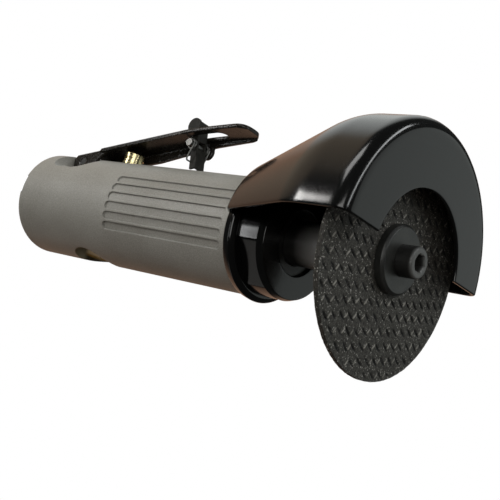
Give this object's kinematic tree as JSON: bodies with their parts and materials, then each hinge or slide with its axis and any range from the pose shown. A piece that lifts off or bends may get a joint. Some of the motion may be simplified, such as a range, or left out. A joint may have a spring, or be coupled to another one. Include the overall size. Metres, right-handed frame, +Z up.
{
  "type": "pneumatic cut-off tool",
  "caption": "Hand-held air-driven cut-off tool: round grooved housing with a lock-off throttle lever, turnable half guard and thin abrasive wheel on a spindle.",
  "frame": {"origin": "centre of the air inlet's mouth, on the spindle's axis", "axes": "+X along the spindle towards the wheel, +Z up towards the throttle lever"},
  "size_m": [0.1816, 0.0872, 0.0817],
  "materials": {
    "grey_paint": "warm grey satin paint on a fine cast surface",
    "gloss_black": "gloss black enamel on steel",
    "dark_steel": "blackened steel, satin",
    "steel": "ground bright steel",
    "brass": "turned brass",
    "rubber": "matt black nitrile",
    "abrasive": "rough resin-bonded grit with a woven net under it",
    "phenolic": "brown phenolic laminate",
    "bronze": "sintered bronze"
  },
  "bodies": {
    "body": {"housing": "grey_paint", "inlet_bushing": "dark_steel", "inlet_seal": "rubber", "inlet_screen": "steel", "exhaust_silencers": "bronze", "throttle_bushing": "brass", "throttle_spring": "steel", "regulator_clip": "dark_steel", "lever_pin": "dark_steel", "motor_gasket": "rubber", "rear_end_plate": "steel", "cylinder_liner": "steel", "front_end_plate": "steel", "motor_dowel": "steel", "rear_bearing_outer": "steel", "front_bearing_outer": "steel", "nose_nut": "gloss_black", "dust_shield": "dark_steel"},
    "spindle": {"rotor": "steel", "vane_1": "phenolic", "vane_2": "phenolic", "vane_3": "phenolic", "vane_4": "phenolic", "rear_bearing_inner": "steel", "rear_bearing_balls": "steel", "rear_bearing_cage": "brass", "front_bearing_inner": "steel", "front_bearing_balls": "steel", "front_bearing_cage": "brass", "wheel_hub": "dark_steel", "cutting_wheel": "abrasive", "outer_flange": "dark_steel", "wheel_screw": "dark_steel"},
    "lever": {"lever": "gloss_black", "catch_pin": "steel", "catch_spring": "steel"},
    "catch": {"safety_catch": "dark_steel"},
    "throttle": {"throttle_stem": "brass", "valve_seal": "rubber"},
    "regulator": {"regulator": "brass", "regulator_seal": "rubber"},
    "guard": {"guard": "gloss_black"}
  },
  "joints": [
    {"name": "spindle_spin", "type": "hinge", "parent": "body", "child": "spindle", "pos_m": [0.1709, 0, 0], "axis": [1, 0, 0], "continuous": true},
    {"name": "lever_press", "type": "hinge", "parent": "body", "child": "lever", "pos_m": [0.0201, 0, 0.0183], "axis": [0, 1, 0], "range_deg": [0, 5], "stiffness_Nm_per_rad": 0.57, "springref_deg": -8.37},
    {"name": "catch_roll", "type": "hinge", "parent": "lever", "child": "catch", "pos_m": [0.076, 0, 0.03028], "axis": [0, 1, 0], "range_deg": [0, 90], "stiffness_Nm_per_rad": 0.002, "springref_deg": -17.19, "deforming": ["catch_spring"]},
    {"name": "throttle_travel", "type": "slide", "parent": "body", "child": "throttle", "axis": [0, 0, -1], "range_m": [0, 0.00191], "stiffness_N_per_m": 50, "springref_m": -0.003, "deforming": ["throttle_spring"]},
    {"name": "regulator_turn", "type": "hinge", "parent": "body", "child": "regulator", "pos_m": [0.0432, 0, -0.012], "axis": [0, 0, 1], "range_deg": [0, 180]},
    {"name": "guard_turn", "type": "hinge", "parent": "body", "child": "guard", "pos_m": [0.124, 0, 0], "axis": [1, 0, 0], "range_deg": [-90, 90]}
  ],
  "couplings": [
    {"joint": "catch_roll", "follows": "lever_press", "ratio": 18},
    {"joint": "throttle_travel", "follows": "lever_press", "m_per_rad": 0.0218}
  ]
}
